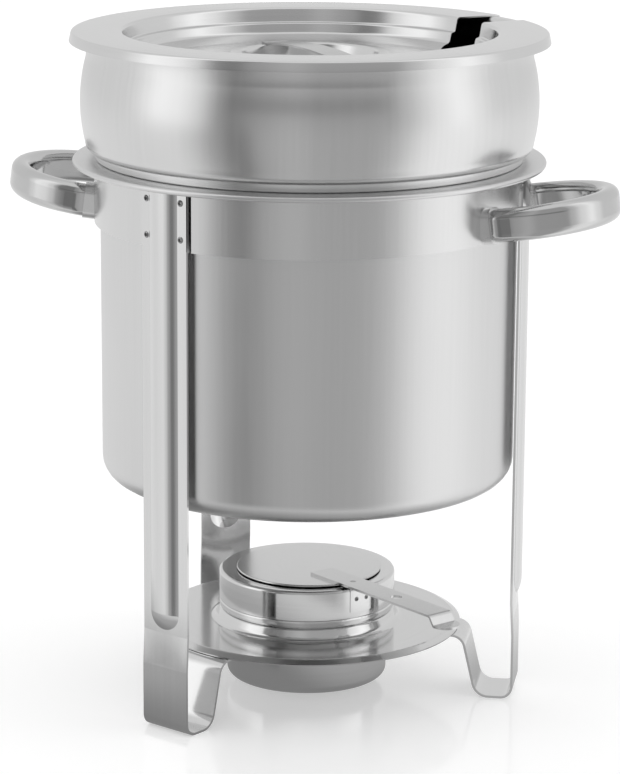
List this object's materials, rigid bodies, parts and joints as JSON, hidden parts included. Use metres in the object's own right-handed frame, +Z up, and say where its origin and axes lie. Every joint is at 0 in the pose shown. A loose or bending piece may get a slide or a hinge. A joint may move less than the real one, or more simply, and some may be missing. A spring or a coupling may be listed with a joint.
{
  "type": "soup tureen",
  "caption": "Round steel soup chafer: notched recessed lid, bulging food pan in a deep water pan, riveted leg stand with loop handles, and a lidded fuel burner with a swinging snuffer.",
  "frame": {"origin": "on the floor, on the vertical axis of the pans", "axes": "+Z up; +X out through the right handle, so the handles lie on the X axis; +Y away from the front"},
  "size_m": [0.3978, 0.3, 0.4246],
  "materials": {
    "satin_steel": "fine circular brushing, soft sheen",
    "polished_steel": "polished, close to mirror",
    "fastener_steel": "plain machined"
  },
  "bodies": {
    "stand": {"frame_band": "satin_steel", "leg_right": "polished_steel", "leg_rear": "polished_steel", "leg_front": "polished_steel", "leg_rivets": "fastener_steel", "handle_left": "polished_steel", "handle_right": "polished_steel", "handle_collar_left_a": "polished_steel", "handle_collar_left_b": "polished_steel", "handle_collar_right_a": "polished_steel", "handle_collar_right_b": "polished_steel", "handle_screws": "fastener_steel", "fuel_tray": "polished_steel"},
    "water_pan": {"water_pan": "satin_steel"},
    "food_pan": {"food_pan": "satin_steel", "food_pan_well": "satin_steel"},
    "lid": {"lid": "satin_steel", "grip_strap": "satin_steel"},
    "burner_cup": {"burner_cup": "polished_steel"},
    "burner_cap": {"burner_cap": "polished_steel", "lever_bracket": "polished_steel", "bracket_rivets": "fastener_steel"},
    "snuffer": {"snuffer_disc": "polished_steel", "snuffer_lever": "polished_steel", "pivot_pin": "fastener_steel"}
  },
  "joints": [
    {"name": "water_pan_lift", "type": "slide", "parent": "stand", "child": "water_pan", "axis": [0, 0, 1], "range_m": [0, 0.21]},
    {"name": "food_pan_lift", "type": "slide", "parent": "water_pan", "child": "food_pan", "axis": [0, 0, 1], "range_m": [0, 0.19]},
    {"name": "lid_lift", "type": "slide", "parent": "food_pan", "child": "lid", "axis": [0, 0, 1], "range_m": [0, 0.08]},
    {"name": "burner_lift", "type": "slide", "parent": "stand", "child": "burner_cup", "axis": [0, 0, 1], "range_m": [0, 0.046]},
    {"name": "cap_lift", "type": "slide", "parent": "burner_cup", "child": "burner_cap", "axis": [0, 0, 1], "range_m": [0, 0.012]},
    {"name": "snuffer_swing", "type": "hinge", "parent": "burner_cap", "child": "snuffer", "pos_m": [0.04093, -0.03256, 0.078], "axis": [0, 0, -1], "range_deg": [0, 75]}
  ]
}
